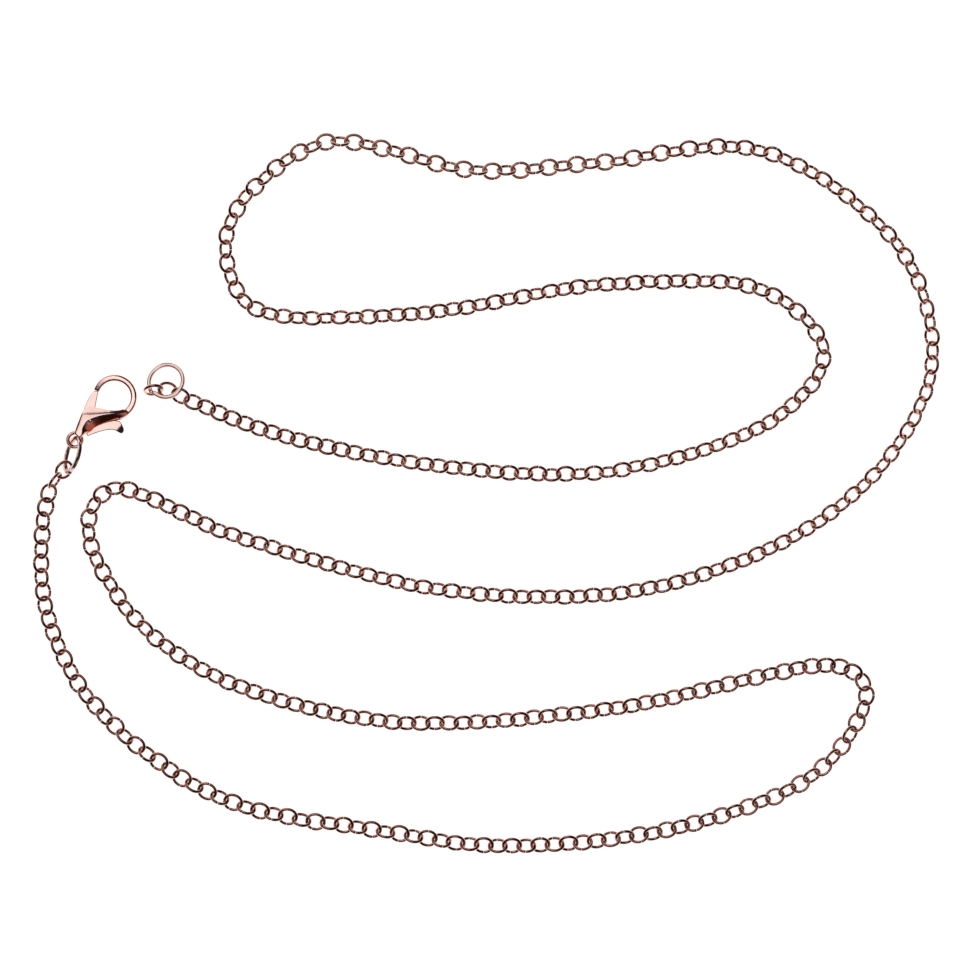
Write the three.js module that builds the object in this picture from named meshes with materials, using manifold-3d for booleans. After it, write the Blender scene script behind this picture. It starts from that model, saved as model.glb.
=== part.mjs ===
// Rose-gold chain necklace laid down in a serpentine, with a lobster claw clasp and an end ring.
// Millimetres, +Z up, the chain lies on the plane z = 0 and the origin is the centre of its base.
import * as THREE from 'three';
import { mergeVertices } from 'three/addons/utils/BufferGeometryUtils.js';
import Module from 'manifold-3d';

const wasm = await Module();
wasm.setup();

// ---- driving dimensions ----
const LINK_COUNT = 374; // closed links in the whole chain
const LINK_WIRE = 0.40; // wire diameter of one link
const LINK_WIDTH = 2.36; // outside width of one link
const LINK_PLAY = 0.05; // how much longer a link is than its neighbours need
const END_LINKS = 3; // links modelled singly at each end of the chain
const LINKS_PER_RUN = 8; // links held together in one run
const RUN_COUNT = (LINK_COUNT - 2 * END_LINKS) / LINKS_PER_RUN;

const RING_OUTER = 5.0; // outside diameter of both jump rings
const RING_WIRE = 0.55;
const RING_SPREAD = 0.22; // how far the cut ends of a jump ring miss each other sideways
const SEAM = 0.05; // width of a butt seam, along the wire

const CLASP_THICK = 3.0; // across the flat sides of the clasp
const CLASP_SLOT = 1.2; // slot for the lever, across the clasp
const CLASP_ANGLE = THREE.MathUtils.degToRad(48.5); // heading of the clasp, tail to hook
const CLASP_TAIL = [-54.24, 6.99]; // centre of the tail eye on the plane
const HOOK_THICK = 1.7;
const EYE_OUTER = 1.19; // radii of the tail eye
const EYE_HOLE = 0.72;
const EYE_THICK = 1.0;
const LEVER_THICK = 1.0;
const PIVOT = [3.3, 0.1]; // rivet of the lever, in the clasp's own frame
const RIVET_RADIUS = 0.3;
const RIVET_CLEARANCE = 0.06;
const SPRING = { outer: 0.66, wire: 0.12, coils: 5, low: -0.56, high: 0.6, along: 1.78 };

// Way of the chain on the plane, from the end ring to the clasp.
const ROUTE = [
  [-44.8, 13.5], [-42.2, 13.6], [-38.5, 11.9], [-26.5, 7.5], [-5.5, 3.5], [17.5, 3.0], [39.0, 10.5],
  [44.5, 18.5], [37.0, 26.5], [16.0, 27.5], [-11.0, 23.5], [-31.5, 25.0], [-34.0, 35.0], [-22.0, 46.0],
  [-1.5, 42.5], [14.5, 43.5], [36.5, 45.0], [55.0, 31.5], [58.5, 15.5], [47.5, -1.0], [24.0, -12.0],
  [-4.0, -13.0], [-33.5, -5.5], [-49.5, 0.5], [-52.5, -4.0], [-48.0, -14.5], [-37.0, -23.5],
  [-14.0, -30.0], [16.0, -28.5], [47.0, -23.0], [50.0, -26.0], [44.5, -36.0], [27.5, -43.5],
  [3.0, -46.5], [-14.0, -44.5], [-35.5, -40.0], [-52.0, -27.5], [-58.0, -15.5], [-58.5, -4.5],
  [-57.5, 0.5], [-55.1, 3.8],
];

const ORIGIN_SHIFT = [-0.05, 0.08]; // from the route's own zero to the middle of the necklace

// ---- materials ----
const roseGold = (roughness) => new THREE.MeshStandardMaterial({ color: 0xe3a08c, roughness, metalness: 1 });
const chainMetal = roseGold(0.3);
const claspMetal = roseGold(0.2);
const springSteel = new THREE.MeshStandardMaterial({ color: 0xb9b9bd, roughness: 0.35, metalness: 1 });

// ---- solids ----
const SPLINE_SEGMENTS = 2; // per point of a spline in an outline
const ARC_SEGMENTS = 12; // per half of an arc

function toSolid(geometry) {
  const bare = geometry.clone();
  bare.deleteAttribute('normal');
  bare.deleteAttribute('uv');
  const merged = mergeVertices(bare, 1e-4);
  return new wasm.Manifold(
    new wasm.Mesh({
      numProp: 3,
      vertProperties: new Float32Array(merged.attributes.position.array),
      triVerts: new Uint32Array(merged.index.array),
    }),
  );
}

function toGeometry(solid) {
  const mesh = solid.getMesh();
  const geometry = new THREE.BufferGeometry();
  geometry.setAttribute('position', new THREE.BufferAttribute(new Float32Array(mesh.vertProperties), 3));
  geometry.setIndex(new THREE.BufferAttribute(new Uint32Array(mesh.triVerts), 1));
  geometry.computeVertexNormals();
  return geometry;
}

function part(name, geometry, material) {
  const mesh = new THREE.Mesh(geometry, material);
  mesh.name = name;
  return mesh;
}

// A flat plate of the outline, centred on the height middle, with its rim chamfered by edge.
function plate(outline, middle, thickness, edge = 0, curveSegments = SPLINE_SEGMENTS) {
  const geometry = new THREE.ExtrudeGeometry(outline, {
    depth: thickness - 2 * edge,
    bevelEnabled: edge > 0,
    bevelThickness: edge,
    bevelSize: edge,
    bevelOffset: -edge,
    bevelSegments: 1,
    curveSegments,
  });
  geometry.translate(0, 0, middle - thickness / 2 + edge);
  return geometry;
}

const points2 = (pairs) => pairs.map(([x, y]) => new THREE.Vector2(x, y));

function pin(radius, length, middle, [x, y], sides = 12) {
  const geometry = new THREE.CylinderGeometry(radius, radius, length, sides);
  geometry.rotateX(Math.PI / 2);
  geometry.translate(x, y, middle);
  return geometry;
}

// Round wire bent along a path, with flat cut ends.
function bentWire(path, diameter, steps, sides) {
  const section = new THREE.Shape();
  for (let i = 0; i < sides; i += 1) {
    const angle = (2 * Math.PI * i) / sides;
    const x = (diameter / 2) * Math.cos(angle);
    const y = (diameter / 2) * Math.sin(angle);
    if (i === 0) section.moveTo(x, y);
    else section.lineTo(x, y);
  }
  return new THREE.ExtrudeGeometry(section, { steps, extrudePath: path });
}

// ---- the chain's route ----
const SIDE = (LINK_WIDTH - LINK_WIRE) / 2; // from a link's middle to the wire of its side
const AXIS_HEIGHT = SIDE * Math.SQRT1_2 + LINK_WIRE / 2; // links lie at 45 degrees on the plane
const route = new THREE.CatmullRomCurve3(
  ROUTE.map(([x, y]) => new THREE.Vector3(x, y, AXIS_HEIGHT)),
  false,
  'centripetal',
);
route.arcLengthDivisions = 12000;
const ROUTE_LENGTH = route.getLength();
const PITCH = ROUTE_LENGTH / LINK_COUNT; // from one contact between links to the next
const UP = new THREE.Vector3(0, 0, 1);

function routeFrame(station) {
  const u = station / ROUTE_LENGTH;
  const along = route.getTangentAt(u);
  return { point: route.getPointAt(u), along, left: UP.clone().cross(along).normalize() };
}

// The direction across a link that is turned by roll about the chain; roll 0 lies flat.
function across(frame, roll) {
  return frame.left.clone().multiplyScalar(Math.cos(roll)).addScaledVector(UP, Math.sin(roll));
}

// ---- one link, an oval of round wire with its butt seam in one side ----
class OvalPath extends THREE.Curve {
  constructor(halfLength, halfWidth) {
    super();
    this.half = [halfLength, halfWidth];
  }

  getPoint(t, target = new THREE.Vector3()) {
    const gap = SEAM / this.half[1];
    const angle = Math.PI / 2 + gap / 2 + t * (2 * Math.PI - gap);
    return target.set(this.half[0] * Math.cos(angle), this.half[1] * Math.sin(angle), 0);
  }
}

const linkWire = bentWire(new OvalPath((PITCH + LINK_WIRE + LINK_PLAY) / 2, SIDE), LINK_WIRE, 16, 6);

function singleLink(name, index, rollDegrees) {
  const roll = THREE.MathUtils.degToRad(rollDegrees);
  const frame = routeFrame((index + 0.5) * PITCH);
  const wide = across(frame, roll);
  const link = part(name, linkWire, chainMetal);
  const turn = new THREE.Matrix4().makeBasis(frame.along, wide, frame.along.clone().cross(wide));
  link.quaternion.setFromRotationMatrix(turn);
  link.position.copy(frame.point);
  link.position.z = Math.max(AXIS_HEIGHT, SIDE * Math.abs(Math.sin(roll)) + LINK_WIRE / 2);
  return link;
}

// ---- a run of links: six-sided ovals of three-sided wire, joined where they bear on each other ----
const RUN_WIRE = 0.22; // from the middle of the wire to its outer corner
const RUN_LENGTH = 1.0; // half length of a link's middle line, short enough to grip the next one
const RUN_WIDTH = 1.0; // half width, so that the corners of a link lie on the plane
const RUN_PLAY = 0.1; // how much longer a run's last link is, to hang free in the next run's

function runLink() {
  const section = [0, 1, 2, 3].map((corner) => {
    const angle = (2 * Math.PI * corner) / 3;
    return new THREE.Vector2(1 + RUN_WIRE * Math.cos(angle), RUN_WIRE * Math.sin(angle));
  });
  return toSolid(new THREE.LatheGeometry(section, 6).rotateX(Math.PI / 2));
}

const runLinkSolid = runLink();

// One link of a run; play lengthens it towards the end of the run it faces, ahead 1 or back -1.
function placedLink(index, play) {
  const frame = routeFrame((index + 0.5) * PITCH);
  const wide = across(frame, index % 2 === 0 ? Math.PI / 4 : -Math.PI / 4);
  const turn = new THREE.Matrix4().makeBasis(frame.along, wide, frame.along.clone().cross(wide));
  const length = RUN_LENGTH + (Math.abs(play) * RUN_PLAY) / 2;
  turn.scale(new THREE.Vector3(length / Math.cos(Math.PI / 6), RUN_WIDTH, 1));
  turn.setPosition(frame.point.addScaledVector(frame.along, (play * RUN_PLAY) / 2));
  return runLinkSolid.transform(turn.elements);
}

function chainRun(run) {
  const first = END_LINKS + run * LINKS_PER_RUN;
  const last = first + LINKS_PER_RUN - 1;
  const links = [];
  for (let index = first; index <= last; index += 1) {
    const play = index === first ? -1 : Number(index === last);
    links.push(placedLink(index, play));
  }
  const name = `chain_run_${String(run + 1).padStart(2, '0')}`;
  return part(name, toGeometry(wasm.Manifold.union(links)), chainMetal);
}

// ---- jump rings, each cut once and closed not quite true ----
class RingPath extends THREE.Curve {
  getPoint(t, target = new THREE.Vector3()) {
    const radius = (RING_OUTER - RING_WIRE) / 2;
    const gap = (2 * SEAM) / radius;
    const angle = gap / 2 + t * (2 * Math.PI - gap);
    const spread = RING_SPREAD * Math.max(0, 4 * t - 3);
    return target.set((radius + spread) * Math.cos(angle), (radius + spread) * Math.sin(angle), 0);
  }
}

const ringWire = bentWire(new RingPath(), RING_WIRE, 26, 8);
const RING_RADIUS = (RING_OUTER - RING_WIRE) / 2;

// A ring lying tilted: its centre, the heading of its level diameter and the tilt about it.
function jumpRing(name, centre, heading, tilt, seam) {
  const ring = part(name, ringWire, claspMetal);
  ring.rotation.set(THREE.MathUtils.degToRad(tilt), 0, THREE.MathUtils.degToRad(seam), 'XYZ');
  const turned = new THREE.Group();
  turned.add(ring);
  turned.rotation.z = THREE.MathUtils.degToRad(heading);
  turned.position.set(...centre);
  return turned;
}

// ---- the lobster claw clasp, in its own frame: +X from the tail eye to the hook ----
const CLASP_MIDDLE = CLASP_THICK / 2;
const HOOK_OUTER = { x: 7.68, y: -0.3, r: 2.92, from: -2.09, to: 1.95 };
const HOOK_INNER = { x: 7.72, y: -0.03, r: 2.15, from: -2.27, to: 1.88 };

function hookOutline() {
  const outline = new THREE.Shape();
  outline.absarc(HOOK_OUTER.x, HOOK_OUTER.y, HOOK_OUTER.r, HOOK_OUTER.from, HOOK_OUTER.to, false);
  outline.absarc(HOOK_INNER.x, HOOK_INNER.y, HOOK_INNER.r, HOOK_INNER.to, HOOK_INNER.from, true);
  outline.closePath();
  return outline;
}

const SHELL_LOWER = [
  [0.7, -0.4], [1.66, -0.56], [2.6, -1.12], [3.54, -1.62], [4.6, -2.15], [5.5, -2.62], [6.3, -2.94],
];
const SHELL_FRONT = [[7.15, -3.13], [7.08, -2.1], [6.4, -1.65], [5.78, -0.85], [5.35, 0.1], [4.9, 0.95]];
const SHELL_UPPER = [[4.02, 1.78], [3.3, 1.62], [2.5, 1.34], [1.6, 1.04], [0.7, 0.7]];

const shellOutline = () => new THREE.Shape(points2([...SHELL_LOWER, ...SHELL_FRONT, ...SHELL_UPPER]));

function ringOutline(outer, hole) {
  const outline = new THREE.Shape();
  outline.absarc(0, 0, outer, 0, 2 * Math.PI, false);
  outline.holes.push(new THREE.Path().absarc(0, 0, hole, 0, 2 * Math.PI, true));
  return outline;
}

// The slot is open along the lower edge and at the front, and closed above the spring.
const SLOT = [[1.1, -4], [6.0, -4], [5.85, -1.2], [6.4, 3], [3.1, 3], [2.95, 1.2], [1.9, 0.85], [1.1, 0.4]];

const slotOutline = () => new THREE.Shape(points2(SLOT));

const rivetBore = () => toSolid(pin(RIVET_RADIUS + RIVET_CLEARANCE, 2 * CLASP_THICK, CLASP_MIDDLE, PIVOT));

function claspBody() {
  const shell = toSolid(plate(shellOutline(), CLASP_MIDDLE, CLASP_THICK, 0.28));
  const hook = toSolid(plate(hookOutline(), CLASP_MIDDLE, HOOK_THICK, 0.2, ARC_SEGMENTS));
  const eye = toSolid(plate(ringOutline(EYE_OUTER, EYE_HOLE), CLASP_MIDDLE, EYE_THICK, 0, ARC_SEGMENTS));
  const slot = toSolid(plate(slotOutline(), CLASP_MIDDLE, CLASP_SLOT));
  const eyeHole = toSolid(pin(EYE_HOLE, 2 * CLASP_THICK, CLASP_MIDDLE, [0, 0], 24));
  const solid = shell.add(hook).add(eye).subtract(slot).subtract(rivetBore()).subtract(eyeHole);
  return part('clasp_body', toGeometry(solid), claspMetal);
}

function leverOutline() {
  const outline = new THREE.Shape();
  outline.moveTo(6.5, 2.4);
  outline.splineThru(points2([[5.6, 2.33], [4.73, 2.1], [3.95, 1.84], [3.3, 1.54], [2.75, 0.98]]));
  outline.lineTo(2.5, 0.5);
  outline.lineTo(2.44, -0.36);
  outline.lineTo(2.2, -0.64);
  outline.lineTo(1.58, -0.64);
  outline.lineTo(1.5, -0.98);
  outline.splineThru(points2([[1.9, -1.15], [3.12, -1.84], [4.0, -2.5], [4.45, -3.1], [4.6, -3.75]]));
  outline.splineThru(points2([[4.75, -4.07], [5.05, -4.1], [5.35, -3.9], [5.6, -3.45], [5.76, -2.9]]));
  outline.splineThru(points2([[5.5, -2.35], [4.9, -1.4], [4.47, -0.5], [4.47, 0.25], [4.94, 0.75]]));
  outline.splineThru(points2([[5.57, 1.14], [6.1, 1.46], [6.9, 1.9]]));
  outline.closePath();
  return outline;
}

function claspLever() {
  const blade = toSolid(plate(leverOutline(), CLASP_MIDDLE, LEVER_THICK));
  return part('clasp_lever', toGeometry(blade.subtract(rivetBore())), claspMetal);
}

// The spring stands on the lever's rear arm and pushes against the closed end of the slot.
class CoilPath extends THREE.Curve {
  getPoint(t, target = new THREE.Vector3()) {
    const radius = (SPRING.outer - SPRING.wire) / 2;
    const angle = 2 * Math.PI * SPRING.coils * t;
    const length = SPRING.high - SPRING.low - SPRING.wire;
    return target.set(
      SPRING.along + radius * Math.cos(angle),
      SPRING.low + SPRING.wire / 2 + length * t,
      CLASP_MIDDLE + radius * Math.sin(angle),
    );
  }
}

function clasp() {
  const group = new THREE.Group();
  const rivet = pin(RIVET_RADIUS, CLASP_THICK - 0.04, CLASP_MIDDLE, PIVOT);
  const coil = bentWire(new CoilPath(), SPRING.wire, 10 * SPRING.coils, 5);
  group.add(claspBody());
  group.add(claspLever());
  group.add(part('clasp_pivot_pin', rivet, claspMetal));
  group.add(part('clasp_spring', coil, springSteel));
  group.rotation.z = CLASP_ANGLE;
  group.position.set(...CLASP_TAIL, 0);
  return group;
}

// ---- the whole necklace ----
const necklace = new THREE.Group();
necklace.add(clasp());
necklace.add(jumpRing('clasp_jump_ring', [-54.5, 5.08, 2.33], 74, -68, 200));
necklace.add(jumpRing('end_ring', [-42.18, 14.76, 1.04], 35, -19.7, 185));

const ringEndRolls = [55, -20, 30]; // roll of each single link, degrees, from the end ring
const claspEndRolls = [-20, 70, 25]; // and on to the clasp
ringEndRolls.forEach((roll, i) => {
  necklace.add(singleLink(`ring_end_link_${i + 1}`, i, roll));
});
claspEndRolls.forEach((roll, i) => {
  necklace.add(singleLink(`clasp_end_link_${END_LINKS - i}`, LINK_COUNT - END_LINKS + i, roll));
});
for (let run = 0; run < RUN_COUNT; run += 1) {
  necklace.add(chainRun(run));
}

// the origin is the centre of the base of the box around it all
necklace.position.set(...ORIGIN_SHIFT, 0);

export default necklace;
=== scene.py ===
"""Rose-gold chain necklace: wire links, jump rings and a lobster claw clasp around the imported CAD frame."""

import math
import random

import bmesh
import bpy
import numpy as np
from mathutils import Matrix, Vector


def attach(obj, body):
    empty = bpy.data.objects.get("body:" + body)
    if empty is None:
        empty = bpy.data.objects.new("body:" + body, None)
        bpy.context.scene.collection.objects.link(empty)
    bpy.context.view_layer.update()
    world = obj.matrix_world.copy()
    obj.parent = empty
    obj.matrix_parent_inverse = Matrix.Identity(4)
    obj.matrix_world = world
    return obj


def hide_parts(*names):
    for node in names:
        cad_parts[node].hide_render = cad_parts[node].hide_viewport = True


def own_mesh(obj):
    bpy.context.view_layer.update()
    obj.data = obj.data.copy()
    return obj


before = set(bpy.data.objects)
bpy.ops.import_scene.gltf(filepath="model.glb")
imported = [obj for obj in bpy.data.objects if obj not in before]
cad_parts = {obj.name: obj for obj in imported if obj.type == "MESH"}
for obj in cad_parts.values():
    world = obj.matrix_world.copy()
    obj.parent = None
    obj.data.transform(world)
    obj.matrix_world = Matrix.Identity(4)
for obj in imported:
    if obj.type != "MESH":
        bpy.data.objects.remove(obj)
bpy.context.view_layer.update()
MM = 0.001

# ---- dimensions of the necklace, in metres: the CAD part's, but with the links' wire drawn a little thicker ----
LINK_COUNT = 374
LINK_WIRE = 0.00045
LINK_WIDTH = 0.00242
LINK_PLAY = 0.00003
END_LINKS = 3
LINKS_PER_RUN = 8
RUN_COUNT = (LINK_COUNT - 2 * END_LINKS) // LINKS_PER_RUN
RING_OUTER = 0.005
RING_WIRE = 0.00055
RING_SPREAD = 0.00022
SEAM = 0.00003
ORIGIN_SHIFT = Vector((-0.00005, 0.00008, 0.0))
CLASP_ANGLE = math.radians(48.5)
CLASP_TAIL = Vector((-0.05424, 0.00699, 0.0))

ROUTE = [
    (-0.0448, 0.0135), (-0.0422, 0.0136), (-0.0385, 0.0119), (-0.0265, 0.0075), (-0.0055, 0.0035),
    (0.0175, 0.003), (0.039, 0.0105), (0.0445, 0.0185), (0.037, 0.0265), (0.016, 0.0275),
    (-0.011, 0.0235), (-0.0315, 0.025), (-0.034, 0.035), (-0.022, 0.046), (-0.0015, 0.0425),
    (0.0145, 0.0435), (0.0365, 0.045), (0.055, 0.0315), (0.0585, 0.0155), (0.0475, -0.001),
    (0.024, -0.012), (-0.004, -0.013), (-0.0335, -0.0055), (-0.0495, 0.0005), (-0.0525, -0.004),
    (-0.048, -0.0145), (-0.037, -0.0235), (-0.014, -0.03), (0.016, -0.0285), (0.047, -0.023),
    (0.05, -0.026), (0.0445, -0.036), (0.0275, -0.0435), (0.003, -0.0465), (-0.014, -0.0445),
    (-0.0355, -0.04), (-0.052, -0.0275), (-0.058, -0.0155), (-0.0585, -0.0045), (-0.0575, 0.0005),
    (-0.0551, 0.0038),
]


# ---- the chain's route: the same centripetal curve as the CAD part's ----
def route_points(points, steps=260):
    """Dense points of a centripetal Catmull-Rom curve through the given ones."""
    p = np.array(points, float)
    p = np.vstack([2 * p[0] - p[1], p, 2 * p[-1] - p[-2]])
    t = np.linspace(0, 1, steps, endpoint=False)[:, None]
    out = []
    for i in range(1, len(p) - 2):
        a, b, c, d = p[i - 1], p[i], p[i + 1], p[i + 2]
        da, db, dc = (math.sqrt(np.linalg.norm(q)) for q in (b - a, c - b, d - c))
        tb = ((b - a) / da - (c - a) / (da + db) + (c - b) / db) * db
        tc = ((c - b) / db - (d - b) / (db + dc) + (d - c) / dc) * db
        out.append(b + tb * t + (3 * (c - b) - 2 * tb - tc) * t**2 + (2 * (b - c) + tb + tc) * t**3)
    out.append(p[-2][None])
    return np.vstack(out)


LINE = route_points(ROUTE)
STATIONS = np.concatenate([[0], np.cumsum(np.linalg.norm(np.diff(LINE, axis=0), axis=1))])
PITCH = STATIONS[-1] / LINK_COUNT
SIDE = (LINK_WIDTH - LINK_WIRE) / 2
AXIS_HEIGHT = SIDE * math.sqrt(0.5) + LINK_WIRE / 2


def on_route(station):
    """Point of the route and its direction there."""
    x, y = (float(np.interp(station, STATIONS, LINE[:, k])) for k in (0, 1))
    ends = [np.array([np.interp(station + s, STATIONS, LINE[:, k]) for k in (0, 1)]) for s in (-0.0002, 0.0002)]
    along = Vector((*(ends[1] - ends[0]), 0)).normalized()
    return Vector((x, y, 0)), along


# ---- meshes ----
def new_object(name, bm, material):
    """A smooth-shaded object of the mesh, in the scene."""
    mesh = bpy.data.meshes.new(name)
    bm.to_mesh(mesh)
    bm.free()
    mesh.polygons.foreach_set("use_smooth", [True] * len(mesh.polygons))
    obj = bpy.data.objects.new(name, mesh)
    bpy.context.scene.collection.objects.link(obj)
    mesh.materials.append(material)
    return obj


def fullness(c, s, power):
    """Distance from the middle of a unit outline in the direction (c, s): a circle for a power of 2, and
    nearer and nearer a square for higher ones."""
    return (abs(c) ** power + abs(s) ** power) ** (-1 / power)


def add_loft(bm, rings, closed=False):
    """Adds a skin over the rings of points: capped at both ends, or closed on itself."""
    made = [[bm.verts.new(p) for p in ring] for ring in rings]
    count = len(made[0])
    for low, high in zip(made, made[1:] + made[:1] if closed else made[1:]):
        for k in range(count):
            bm.faces.new((low[k], low[(k + 1) % count], high[(k + 1) % count], high[k]))
    if not closed:
        bm.faces.new(made[0][::-1])
        bm.faces.new(made[-1])


def add_tube(bm, points, normals, radii, sides, power=2.0):
    """Adds wire through the points, with flat ends; normals[i] is any direction across it. Wire of a power
    above 2 is a little square, as drawn wire that has been rolled."""
    last = len(points) - 1
    rings = []
    for i, point in enumerate(points):
        ahead = points[min(i + 1, last)] - points[max(i - 1, 0)]
        side = normals[i].normalized()
        up = ahead.normalized().cross(side)
        ring = []
        for k in range(sides):
            c, s = math.cos(2 * math.pi * k / sides), math.sin(2 * math.pi * k / sides)
            ring.append(point + radii[i] * fullness(c, s, power) * (c * side + s * up))
        rings.append(ring)
    add_loft(bm, rings)


CUT_END = 0.86  # the wire's cut ends are this much of its full thickness
CUT_TAPER = 0.12  # and reach it over this share of its radius


def closed_wire(bm, place, outline, radius, seam, steps, sides, power=2.0):
    """Adds a wire loop: outline(angle) is its middle line, cut with a butt seam at angle seam."""
    gap = SEAM / outline(seam).length
    burr = CUT_TAPER * radius / outline(seam).length
    angles = [seam + gap / 2, seam + gap / 2 + burr]
    angles += [seam + 2 * math.pi * (i + 1) / (steps + 1) for i in range(steps)]
    angles += [seam + 2 * math.pi - gap / 2 - burr, seam + 2 * math.pi - gap / 2]
    radii = [CUT_END * radius] + [radius] * (steps + 2) + [CUT_END * radius]
    points = [place @ outline(a) for a in angles]
    normals = [place.to_3x3() @ Vector((0, 0, 1))] * len(points)
    add_tube(bm, points, normals, radii, sides, power)


def oval(half_length, half_width, power):
    """The middle line of a link, by angle."""
    def at(a):
        c, s = math.cos(a), math.sin(a)
        r = fullness(c, s, power)
        return Vector((half_length * r * c, half_width * r * s, 0))
    return at


# ---- materials ----
def socket_value(node, **values):
    """Sets sockets by name; an underscore stands for a space."""
    for name, value in values.items():
        node.inputs[name.replace("_", " ")].default_value = value


def noise(nodes, links, vector, scale, detail, stretch=(1, 1, 1)):
    mapping = nodes.new("ShaderNodeMapping")
    mapping.inputs["Scale"].default_value = stretch
    texture = nodes.new("ShaderNodeTexNoise")
    socket_value(texture, Scale=scale, Detail=detail, Roughness=0.6)
    links.new(vector, mapping.inputs["Vector"])
    links.new(mapping.outputs["Vector"], texture.inputs["Vector"])
    return texture.outputs["Fac"]


def ramp(nodes, links, fac, stops):
    """Colours for a factor, from stops of place and colour."""
    node = nodes.new("ShaderNodeValToRGB")
    links.new(fac, node.inputs["Fac"])
    elements = node.color_ramp.elements
    while len(elements) < len(stops):
        elements.new(0.5)
    for element, (place, colour) in zip(elements, stops):
        element.position = place
        element.color = (*colour, 1)
    return node.outputs["Color"]


def gold(name, light, deep, painted_side_colour, top_colour_share, roughness, bumps):
    """Plated rose gold: cloudy colour between light and deep, with hairline scratches. The share list gives how much
    of that colour is kept for surfaces from upright (0) to level (1); the rest is the side colour, which paints
    light and shade by how far the surface tilts from level."""
    material = bpy.data.materials.new(name)
    material.use_nodes = True
    nodes, links = material.node_tree.nodes, material.node_tree.links
    shader = nodes["Principled BSDF"]
    coordinates = nodes.new("ShaderNodeTexCoord")
    where = coordinates.outputs["Object"]
    cloud = noise(nodes, links, where, 900.0, 4.0)
    # painted light and shade: the base colour follows the surface's tilt, the cloudy colour on level faces and the
    # side colour on upright ones
    upward = nodes.new("ShaderNodeSeparateXYZ")
    links.new(coordinates.outputs["Normal"], upward.inputs["Vector"])
    painted_tilt_mask = ramp(nodes, links, upward.outputs["Z"], [(level, (share,) * 3) for level, share in top_colour_share])
    mix = nodes.new("ShaderNodeMix")
    mix.data_type = "RGBA"
    links.new(painted_tilt_mask, mix.inputs["Factor"])
    socket_value(shader, Metallic=1.0)
    mix.inputs[6].default_value = (*painted_side_colour, 1)
    links.new(ramp(nodes, links, cloud, [(0.32, deep), (0.62, light)]), mix.inputs[7])
    links.new(mix.outputs[2], shader.inputs["Base Color"])
    hair = noise(nodes, links, where, 5200.0, 2.0, (1, 9, 3))
    rough = ramp(nodes, links, hair, [(0.3, (roughness * 0.7,) * 3), (0.75, (roughness * 1.7,) * 3)])
    links.new(rough, shader.inputs["Roughness"])
    scratch = nodes.new("ShaderNodeBump")
    socket_value(scratch, Strength=bumps[0], Distance=0.00002)
    links.new(hair, scratch.inputs["Height"])
    swell = nodes.new("ShaderNodeBump")
    socket_value(swell, Strength=bumps[1], Distance=0.00006)
    links.new(cloud, swell.inputs["Height"])
    links.new(scratch.outputs["Normal"], swell.inputs["Normal"])
    links.new(swell.outputs["Normal"], shader.inputs["Normal"])
    return material


# painted shade and highlight: the wire's level top is painted dark and its upright sides pale pink, as a round
# polished wire catches light
CHAIN_GOLD = gold(
    "chain_gold", (0.58, 0.29, 0.24), (0.36, 0.14, 0.10), (0.95, 0.69, 0.62), [(0.5, 0), (0.72, 1)],
    0.09, (0.2, 0.05),
)
# painted shade: the rings' upright sides are painted darker than their level tops
RING_GOLD = gold(
    "ring_gold", (0.88, 0.64, 0.58), (0.78, 0.52, 0.46), (0.72, 0.42, 0.35), [(0.3, 0), (0.7, 1)],
    0.08, (0.15, 0.2),
)
# painted reflection and shade: faces tilted about 34 to 44 degrees, the shell's flank, are painted deep red, steeper
# faces are partly red and level faces are pale
CLASP_GOLD = gold(
    "clasp_gold", (0.88, 0.62, 0.56), (0.84, 0.55, 0.49), (0.80, 0.16, 0.09),
    [(0.35, 0.75), (0.6, 0.55), (0.72, 0), (0.83, 0), (0.89, 1)], 0.08, (0.1, 0.04),
)
# painted shade: the spring's upright sides are painted a little darker than its level faces
STEEL = gold(
    "spring_steel", (0.66, 0.66, 0.68), (0.42, 0.42, 0.45), (0.4, 0.4, 0.42), [(0.3, 0), (0.7, 1)],
    0.22, (0.3, 0.25),
)


# ---- one link ----
def link_place(station, roll, height, sway=0.0, turn=0.0):
    """Matrix that puts a link lying in its own XY plane, X along the chain, on the route."""
    point, along = on_route(station)
    along = Matrix.Rotation(turn, 3, "Z") @ along
    left = Vector((-along.y, along.x, 0))
    wide = left * math.cos(roll) + Vector((0, 0, math.sin(roll)))
    place = Matrix((along, wide, along.cross(wide))).transposed().to_4x4()
    place.translation = point + ORIGIN_SHIFT + left * sway + Vector((0, 0, height))
    return place


LINK_OUTLINE = oval((PITCH + LINK_WIRE + LINK_PLAY) / 2, SIDE, 2.08)


def add_link(bm, place, seam):
    closed_wire(bm, place, LINK_OUTLINE, LINK_WIRE / 2, seam, 30, 12)


# How far the links lean, degrees, at even steps from the end ring to the clasp: every second link to the
# left, the others to the right.
LEAN_LEFT = [
    30, 40, 25, 35, 50, 45, 45, 30, 25, 0, 0, 10, 35, 30, 55, 45,
    35, 45, 30, 45, 40, 30, 40, 30, 45, 5, 15, 35, 45, 40, 45, 15,
]
LEAN_RIGHT = [
    25, 30, 50, 40, 20, 30, 30, 50, 45, 54, 55, 55, 45, 55, 35, 30,
    35, 30, 40, 10, 20, 30, 30, 35, 10, 50, 40, 30, 10, 15, 10, 40,
]


def roll_of(index):
    lean, side = (LEAN_LEFT, 1) if index % 2 == 0 else (LEAN_RIGHT, -1)
    step = index / LINK_COUNT * len(lean) - 0.5
    return math.radians(side * float(np.interp(step, range(len(lean)), lean)))


def height_for(roll):
    return max(AXIS_HEIGHT, SIDE * abs(math.sin(roll)) + LINK_WIRE / 2)


def finish_wire(piece, node):
    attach(piece, node)
    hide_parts(node)


# Spread of the small differences from one link to the next, and how far one sinks below its neighbours.
LEAN_SPREAD, SWAY_SPREAD, TURN_SPREAD, SEAM_SPREAD = 3, 0.00004, 2.0, 0.15
SINK = 0.00012


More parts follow.
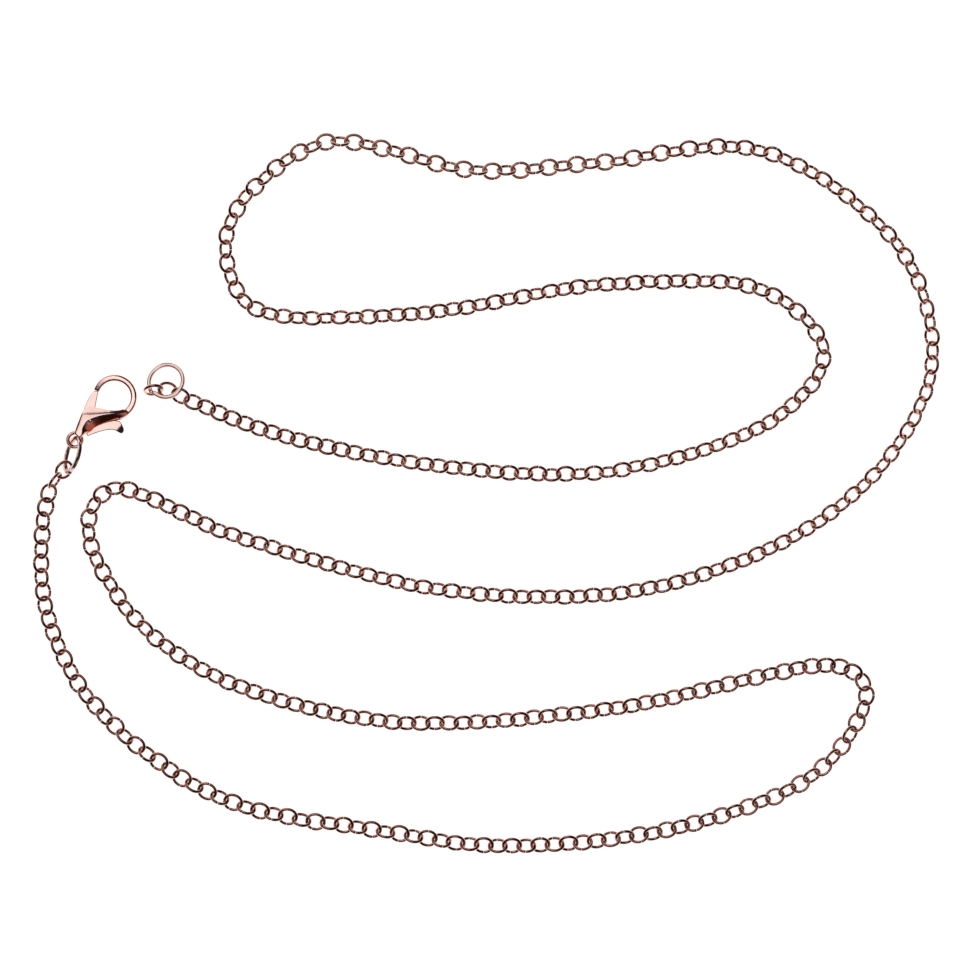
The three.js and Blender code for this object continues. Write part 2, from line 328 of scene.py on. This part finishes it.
def chain_run(run, rng):
    """One run of links, lying in turns to the left and the right."""
    first = END_LINKS + run * LINKS_PER_RUN
    bm = bmesh.new()
    for index in range(first, first + LINKS_PER_RUN):
        roll = roll_of(index) + math.radians(rng.gauss(0, LEAN_SPREAD))
        beside = max(height_for(roll_of(index - 1)), height_for(roll_of(index + 1)))
        height = max(height_for(roll), beside - SINK)
        sway, turn = rng.gauss(0, SWAY_SPREAD), math.radians(rng.gauss(0, TURN_SPREAD))
        place = link_place((index + 0.5) * PITCH, roll, height, sway, turn)
        add_link(bm, place, rng.choice((0.5, 1.5)) * math.pi + rng.gauss(0, SEAM_SPREAD))
    finish_wire(new_object(f"links_{run + 1:02d}", bm, CHAIN_GOLD), f"chain_run_{run + 1:02d}")


def single_link(node, index, roll_degrees):
    bm = bmesh.new()
    roll = math.radians(roll_degrees)
    add_link(bm, link_place((index + 0.5) * PITCH, roll, height_for(roll)), 1.5 * math.pi)
    finish_wire(new_object(f"{node}_wire", bm, CHAIN_GOLD), node)


# ---- jump rings ----
def jump_ring(node, centre, heading, tilt, seam):
    """A jump ring whose last quarter is bent out a little; centre in millimetres, angles in degrees."""
    radius = (RING_OUTER - RING_WIRE) / 2

    def outline(a):
        t = a / (2 * math.pi)
        r = radius + RING_SPREAD * max(0.0, 4 * t - 3)
        return Vector((r * math.cos(a), r * math.sin(a), 0))

    place = Matrix.Translation(Vector(centre) * MM + ORIGIN_SHIFT)
    place = place @ Matrix.Rotation(math.radians(heading), 4, "Z") @ Matrix.Rotation(math.radians(tilt), 4, "X")
    place = place @ Matrix.Rotation(math.radians(seam), 4, "Z")
    bm = bmesh.new()
    closed_wire(bm, place, outline, RING_WIRE / 2, 0.0, 96, 32, 4.0)
    finish_wire(new_object(f"{node}_wire", bm, RING_GOLD), node)


# ---- the clasp: made in millimetres in its own frame, X from the tail eye to the hook ----
CLASP_MIDDLE = 1.5
PIVOT = (3.3, 0.1)
CLASP_PLACE = (
    Matrix.Translation(CLASP_TAIL + ORIGIN_SHIFT) @ Matrix.Rotation(CLASP_ANGLE, 4, "Z") @ Matrix.Scale(MM, 4)
)


def apply_modifiers(obj):
    """Makes the object's modifiers part of its mesh."""
    depsgraph = bpy.context.evaluated_depsgraph_get()
    mesh = bpy.data.meshes.new_from_object(obj.evaluated_get(depsgraph))
    obj.modifiers.clear()
    old = obj.data
    obj.data = mesh
    bpy.data.meshes.remove(old)
    return obj


def section_ring(centre, across, up, half_width, half_height, power, count=28):
    """Ring of points round a centre; with a power above 2 it is a rounded rectangle."""
    ring = []
    for k in range(count):
        a = 2 * math.pi * k / count
        c, s = math.cos(a), math.sin(a)
        r = fullness(c, s, power)
        ring.append(centre + across * (half_width * r * c) + up * (half_height * r * s))
    return ring


# Sections of the shell: along the clasp, lower edge, ridge, brow, upper edge, half height at the ridge.
SHELL = [
    (0.6, -0.36, -0.3, 0.3, 0.58, 1.5), (1.0, -0.42, -0.34, 0.35, 0.78, 1.5), (1.5, -0.52, -0.1, 0.38, 1.0, 1.5),
    (1.9, -0.72, 0.2, 0.4, 1.15, 1.5), (2.4, -1.0, 0.35, 0.42, 1.33, 1.5), (3.0, -1.32, 0.4, 0.43, 1.54, 1.5),
    (3.8, -1.75, 0.05, 0.08, 1.76, 1.5), (4.6, -2.16, -0.42, -0.39, 1.35, 1.5),
    (5.4, -2.56, -1.05, -1.02, 0.2, 1.5), (6.1, -2.84, -1.65, -1.62, -1.0, 1.46),
    (6.8, -3.05, -2.25, -2.22, -1.75, 1.3), (7.3, -3.14, -2.6, -2.57, -2.1, 1.1),
]
FACE_SLOPE = math.tan(math.radians(8))  # the shell's broad face falls towards its upper edge
FLANK_SLOPE = math.tan(math.radians(36))  # and its flank towards the lower edge
EDGE_CUT = 0.12  # the shell's two edges are cut off at an angle by this much


# Sections of the hook: angle about its middle, radius of its middle line, half width, half height.
HOOK_MIDDLE = (7.7, -0.17)
HOOK = [
    (-125, 2.50, 0.46, 0.95), (-105, 2.52, 0.44, 0.95), (-80, 2.54, 0.42, 0.92), (-50, 2.55, 0.41, 0.88),
    (-20, 2.55, 0.41, 0.86), (10, 2.54, 0.42, 0.86), (40, 2.53, 0.42, 0.85), (70, 2.52, 0.40, 0.82),
    (92, 2.51, 0.39, 0.78), (112, 2.50, 0.37, 0.72),
]


EYE_RADIUS = 0.94
EYE_SECTION = (0.27, 0.5, 2.3)  # half width, half height and power


def spread(rows, count):
    """The rows of numbers, evened out to count rows by a smooth curve through them."""
    points = np.array(rows, float)
    t = np.linspace(0, len(rows) - 1, count)
    out = []
    for value in t:
        i = min(int(value), len(rows) - 2)
        u = value - i
        a, b = points[i], points[i + 1]
        before = points[i - 1] if i else 2 * a - b
        after = points[i + 2] if i + 2 < len(rows) else 2 * b - a
        out.append(0.5 * (2 * a + (b - before) * u + (2 * before - 5 * a + 4 * b - after) * u**2
                          + (3 * (a - b) + after - before) * u**3))
    return np.array(out)


def shell_section(x, low, ridge, brow, high, half):
    """Ring of points round the shell: level from ridge to brow, with a face sloping up to one edge and a flank
    to the other, the same above and below."""
    rim = half - FACE_SLOPE * (high - brow)
    foot = half - FLANK_SLOPE * (ridge - low)
    upper = [
        (high, 0.0), (high, 0.5 * rim), (high, rim - EDGE_CUT), (high - EDGE_CUT, rim),
        (0.5 * (high + brow), 0.5 * (rim + half)), (brow, half), (ridge, half),
        (ridge - 0.3 * (ridge - low), half - 0.22 * (half - foot)),
        (ridge - 0.65 * (ridge - low), half - 0.58 * (half - foot)), (low + 0.5 * EDGE_CUT, foot),
        (low, foot - EDGE_CUT),
    ]
    lower = [(y, -z) for y, z in reversed(upper[1:])]
    return [Vector((x, y, CLASP_MIDDLE + z)) for y, z in [*upper, (low, 0.0), *lower]]


def clasp_form():
    """Shell, hook and tail eye as one smooth form."""
    bm = bmesh.new()
    z = Vector((0, 0, 1))
    add_loft(bm, [shell_section(*row) for row in spread(SHELL, 44)])
    hook = []
    for angle, radius, half_width, half_height in spread(HOOK, 60):
        out = Vector((math.cos(math.radians(angle)), math.sin(math.radians(angle)), 0))
        centre = Vector((*HOOK_MIDDLE, CLASP_MIDDLE)) + out * radius
        hook.append(section_ring(centre, -out, z, half_width, half_height, 7.0, 36))
    add_loft(bm, hook)
    eye = []
    for a in np.linspace(0, 2 * math.pi, 64, endpoint=False):
        out = Vector((math.cos(a), math.sin(a), 0))
        eye.append(section_ring(out * EYE_RADIUS + z * CLASP_MIDDLE, out, z, *EYE_SECTION))
    add_loft(bm, eye, closed=True)
    bmesh.ops.recalc_face_normals(bm, faces=bm.faces)
    return rounded(new_object("clasp_shell", bm, CLASP_GOLD), 0.07, 4)


def prism(name, outline, low, high):
    """A closed block of an outline, for cutting."""
    bm = bmesh.new()
    rings = [[Vector((x, y, z)) for x, y in outline] for z in (low, high)]
    add_loft(bm, rings)
    bmesh.ops.recalc_face_normals(bm, faces=bm.faces)
    return new_object(name, bm, CLASP_GOLD)


def cut(obj, cutter):
    modifier = obj.modifiers.new("cut", "BOOLEAN")
    modifier.operation, modifier.solver, modifier.object = "DIFFERENCE", "EXACT", cutter
    apply_modifiers(obj)
    bpy.data.objects.remove(cutter)


def rounded(obj, cell, rounds):
    """One skin over everything in obj, with its edges rounded off."""
    remesh = obj.modifiers.new("remesh", "REMESH")
    remesh.mode = "VOXEL"
    remesh.voxel_size = cell
    smooth = obj.modifiers.new("smooth", "SMOOTH")
    smooth.factor, smooth.iterations = 0.5, rounds
    return apply_modifiers(obj)


def shade_by_angle(obj, degrees=38):
    bm = bmesh.new()
    bm.from_mesh(obj.data)
    for edge in bm.edges:
        edge.smooth = edge.calc_face_angle(0.0) < math.radians(degrees)
    bm.to_mesh(obj.data)
    bm.free()


SLOPE_DROP = 0.73  # how far the cut plane falls at 1.5 mm from the crease


def slope_cutter(name, top):
    """Takes the front of the shell off in a plane, from the crease on its top down to its front edge."""
    crease = [Vector((2.4, 1.72, 0)), Vector((6.9, -2.05, 0))]
    front = (crease[1] - crease[0]).normalized()
    reach = Vector((-front.y, front.x, 0)) * 1.5
    away = 1 if top else -1
    low = Vector((0, 0, CLASP_MIDDLE * (1 + away) - away * 0.02))
    drop = Vector((0, 0, -away * SLOPE_DROP))
    lift = Vector((0, 0, away * 1.2))
    rings = []
    for end in (crease[0] - front * 1.2 + low, crease[1] + front * 0.1 + low):
        rings.append([end, end + reach + drop, end + reach + lift, end + lift])
    bm = bmesh.new()
    add_loft(bm, rings)
    bmesh.ops.recalc_face_normals(bm, faces=bm.faces)
    return new_object(name, bm, CLASP_GOLD)


def finish_clasp_piece(obj, node, body=None):
    obj.data.transform(CLASP_PLACE)
    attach(obj, body or node)
    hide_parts(node)


def one_gold(obj):
    """Clears what the cutting left behind: one material, and sharp edges where faces meet at an angle."""
    obj.data.materials.clear()
    obj.data.materials.append(CLASP_GOLD)
    obj.data.polygons.foreach_set("use_smooth", [True] * len(obj.data.polygons))
    shade_by_angle(obj)


SLOT = [(1.1, -4), (6.0, -4), (5.85, -1.2), (6.4, 3), (3.1, 3), (2.95, 1.2), (1.9, 0.85), (1.1, 0.4)]


def clasp_body():
    form = clasp_form()
    for top in (True, False):
        cut(form, slope_cutter("slope", top))
    cut(form, prism("slot", SLOT, 0.9, 2.1))
    one_gold(form)
    finish_clasp_piece(form, "clasp_body")


# Outline of the lever: its upper edge from the gate back, the rear arm, then the lower edge, tab and gate.
LEVER_UPPER = [(6.5, 2.4), (5.6, 2.33), (4.73, 2.1), (3.95, 1.84), (3.3, 1.54), (2.75, 0.98), (2.5, 0.5)]
LEVER_REAR = [(2.44, -0.36), (2.2, -0.64), (1.58, -0.64)]
LEVER_LOWER = [
    (1.5, -0.98), (1.9, -1.15), (3.12, -1.84), (4.0, -2.5), (4.45, -3.1), (4.6, -3.75), (4.75, -4.07),
    (5.05, -4.1), (5.35, -3.9), (5.6, -3.45), (5.76, -2.9), (5.5, -2.35), (4.9, -1.4), (4.47, -0.5),
    (4.47, 0.25), (4.94, 0.75), (5.57, 1.14), (6.1, 1.46), (6.9, 1.9),
]

TAB_START, TAB_LENGTH, TAB_THINNING = -2.9, 1.2, 0.3  # the finger tab grows thinner towards its tip


def clasp_lever():
    outline = [tuple(p) for p in spread(LEVER_UPPER, 28)] + LEVER_REAR + [tuple(p) for p in spread(LEVER_LOWER, 110)]
    lever = rounded(prism("clasp_gate", outline, 0.98, 2.02), 0.05, 4)
    for vertex in lever.data.vertices:
        out = max(0.0, (TAB_START - vertex.co.y) / TAB_LENGTH)
        vertex.co.z = CLASP_MIDDLE + (vertex.co.z - CLASP_MIDDLE) * (1 - TAB_THINNING * out**2)
    one_gold(lever)
    finish_clasp_piece(lever, "clasp_lever")


def clasp_rivet():
    bm = bmesh.new()
    y, x = Vector((0, 1, 0)), Vector((1, 0, 0))
    profile = [(0.0, 0.16), (0.03, 0.25), (0.1, 0.3), (2.86, 0.3), (2.93, 0.25), (2.96, 0.16)]
    add_loft(bm, [section_ring(Vector((*PIVOT, 0.02 + z)), x, y, r, r, 2.0, 24) for z, r in profile])
    rivet = new_object("clasp_rivet", bm, CLASP_GOLD)
    finish_clasp_piece(rivet, "clasp_pivot_pin", body="clasp_body")


def clasp_spring():
    """Stands on the lever's rear arm, against the slot's closed end."""
    coils, wire, radius, along, low, high = 5, 0.12, 0.27, 1.78, -0.5, 0.54
    count = 24 * coils
    points, normals = [], []
    for i in range(count + 1):
        t = i / count
        a = 2 * math.pi * coils * t
        out = Vector((math.cos(a), 0, math.sin(a)))
        points.append(Vector((along, low + (high - low) * t, CLASP_MIDDLE)) + out * radius)
        normals.append(out)
    bm = bmesh.new()
    add_tube(bm, points, normals, [wire / 2] * len(points), 10)
    spring = new_object("clasp_coil", bm, STEEL)
    finish_clasp_piece(spring, "clasp_spring", "clasp_body")
    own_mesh(spring)


# ---- the surface, the light and the camera ----
FLOOR_LEVEL = -0.15  # a lit table below the glass the necklace lies on, so that no pose meets it


def floor():
    bm = bmesh.new()
    bmesh.ops.create_grid(bm, x_segments=2, y_segments=2, size=6.0)
    material = bpy.data.materials.new("pale_floor")
    material.use_nodes = True
    nodes, links = material.node_tree.nodes, material.node_tree.links
    shader = nodes["Principled BSDF"]
    socket_value(shader, Roughness=0.9)
    shader.inputs["Specular IOR Level"].default_value = 0.1
    where = nodes.new("ShaderNodeTexCoord").outputs["Object"]
    fibre = noise(nodes, links, where, 700.0, 5.0)
    shades = ramp(nodes, links, fibre, [(0.3, (0.58,) * 3), (0.7, (0.62,) * 3)])
    links.new(shades, shader.inputs["Base Color"])
    shader.inputs["Emission Color"].default_value = (1, 1, 1, 1)
    shader.inputs["Emission Strength"].default_value = 1.0
    ground = new_object("floor", bm, material)
    ground.location.z = FLOOR_LEVEL


def sky_patch(nodes, links, direction, towards, inner, outer, strength):
    """A soft light in the sky, centred on a direction, full inside one angle and gone outside another."""
    dot = nodes.new("ShaderNodeVectorMath")
    dot.operation = "DOT_PRODUCT"
    dot.inputs[1].default_value = Vector(towards).normalized()
    links.new(direction, dot.inputs[0])
    fade = nodes.new("ShaderNodeMapRange")
    fade.interpolation_type = "SMOOTHSTEP"
    links.new(dot.outputs["Value"], fade.inputs["Value"])
    fade.inputs["From Min"].default_value = math.cos(math.radians(outer))
    fade.inputs["From Max"].default_value = math.cos(math.radians(inner))
    fade.inputs["To Max"].default_value = strength
    return fade.outputs["Result"]


def total(nodes, links, values):
    result = values[0]
    for value in values[1:]:
        add = nodes.new("ShaderNodeMath")
        add.operation = "ADD"
        links.new(result, add.inputs[0])
        links.new(value, add.inputs[1])
        result = add.outputs["Value"]
    return result


ROOM_LIGHT = 0.02
# Direction of each light, the angles it is full inside and gone outside, in degrees, and its strength.
SKY_PATCHES = [
    ((-0.68, 0.68, 0.2), 10, 20, 1.0), ((-0.117, 0.779, 0.616), 9, 14, 1.15), ((-0.364, 0.52, 0.773), 9, 13, 1.0),
    ((-0.195, 0.195, 0.961), 9, 13, 1.1), ((0, 0, 1), 6, 9, 1.2), ((0.64, -0.70, 0.309), 10, 25, 0.45),
]


def studio():
    """A nearly dark room with soft round lights: a row from high in the back to right overhead, one low on
    the left and a weak one at the front right. The camera itself sees only white behind the floor."""
    world = bpy.data.worlds.new("studio")
    bpy.context.scene.world = world
    world.use_nodes = True
    nodes, links = world.node_tree.nodes, world.node_tree.links
    direction = nodes.new("ShaderNodeTexCoord").outputs["Generated"]
    room = nodes.new("ShaderNodeValue").outputs["Value"]
    room.default_value = ROOM_LIGHT
    lights = [room] + [sky_patch(nodes, links, direction, *patch) for patch in SKY_PATCHES]
    tent = nodes["Background"]
    links.new(total(nodes, links, lights), tent.inputs["Strength"])
    tent.inputs["Color"].default_value = (1, 1, 1, 1)
    backdrop = nodes.new("ShaderNodeBackground")
    backdrop.inputs["Strength"].default_value = 1.0
    backdrop.inputs["Color"].default_value = (1, 1, 1, 1)
    seen = nodes.new("ShaderNodeLightPath").outputs["Is Camera Ray"]
    mix = nodes.new("ShaderNodeMixShader")
    links.new(seen, mix.inputs["Fac"])
    links.new(tent.outputs["Background"], mix.inputs[1])
    links.new(backdrop.outputs["Background"], mix.inputs[2])
    links.new(mix.outputs["Shader"], nodes["World Output"].inputs["Surface"])


def camera():
    """Straight above, far enough off that the view has next to no perspective; the view is as wide as
    view_width one millimetre above the glass."""
    height, view_width, sensor = 1.5, 0.12679, 36.0
    data = bpy.data.cameras.new("camera")
    data.sensor_width = sensor
    data.lens = sensor * (height - MM) / view_width
    data.clip_start, data.clip_end = 0.01, 50
    obj = bpy.data.objects.new("camera", data)
    bpy.context.scene.collection.objects.link(obj)
    obj.location = (-0.000775, 0.001662, height)
    bpy.context.scene.camera = obj


def look():
    settings = bpy.context.scene.view_settings
    settings.view_transform = "Standard"
    settings.look = "None"


# ---- the whole necklace ----
camera()
look()
studio()
floor()
chain_rng = random.Random(11)
for run_number in range(RUN_COUNT):
    chain_run(run_number, chain_rng)
for number, roll_angle in enumerate((55, -20, 30)):
    single_link(f"ring_end_link_{number + 1}", number, roll_angle)
for number, roll_angle in enumerate((-20, 70, 25)):
    single_link(f"clasp_end_link_{END_LINKS - number}", LINK_COUNT - END_LINKS + number, roll_angle)
jump_ring("clasp_jump_ring", (-54.5, 5.08, 2.33), 74, -68, 200)
jump_ring("end_ring", (-42.18, 14.76, 1.04), 35, -19.7, 185)
clasp_body()
clasp_lever()
clasp_rivet()
clasp_spring()
